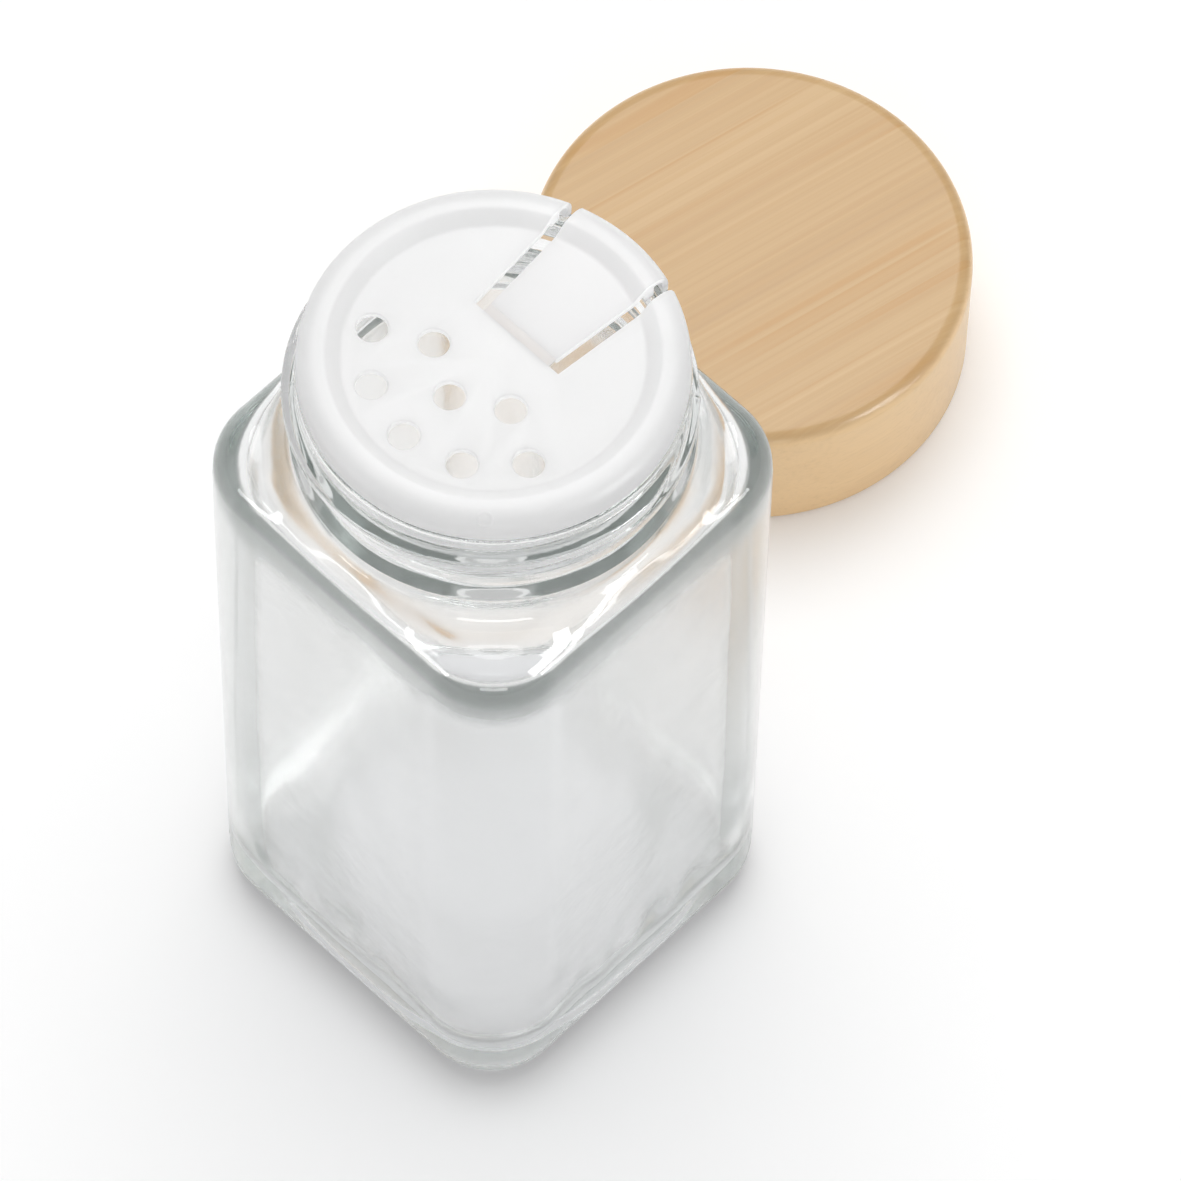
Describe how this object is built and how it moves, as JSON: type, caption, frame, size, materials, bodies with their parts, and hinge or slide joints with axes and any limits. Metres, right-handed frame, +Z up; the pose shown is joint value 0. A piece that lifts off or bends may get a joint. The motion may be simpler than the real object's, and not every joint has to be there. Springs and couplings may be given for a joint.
{
  "type": "spice jar",
  "caption": "Square glass spice jar with a snap-in shaker insert, a hinged pour flap and a round bamboo screw lid that lifts off.",
  "frame": {"origin": "centre of the jar's base, on the surface that it stands on", "axes": "+Z up along the jar's axis, X and Y square to the jar's flat sides, +X towards the pour flap"},
  "size_m": [0.113, 0.0725, 0.1053],
  "materials": {
    "glass": "clear, faintly green, moulded glass",
    "shaker_plastic": "translucent frosted polypropylene",
    "flap_plastic": "translucent frosted polypropylene",
    "bamboo": "laminated bamboo, lightly sealed",
    "liner_plastic": "translucent polypropylene",
    "seal_foam": "soft polyethylene foam disc"
  },
  "bodies": {
    "jar": {"glass_jar": "glass"},
    "shaker": {"shaker_insert": "shaker_plastic"},
    "flap": {"pour_flap": "flap_plastic"},
    "lid": {"bamboo_cap": "bamboo", "cap_liner": "liner_plastic", "cap_seal": "seal_foam"}
  },
  "joints": [
    {"name": "shaker_pull", "type": "slide", "parent": "jar", "child": "shaker", "axis": [0, 0, 1], "range_m": [0, 0.03]},
    {"name": "flap_hinge", "type": "hinge", "parent": "shaker", "child": "flap", "pos_m": [0.0042, 0, 0.1042], "axis": [0, -1, 0], "range_deg": [0, 110]},
    {"name": "lid_lift", "type": "slide", "parent": "jar", "child": "lid", "axis": [0, 0, 1], "range_m": [0, 0.12]}
  ]
}
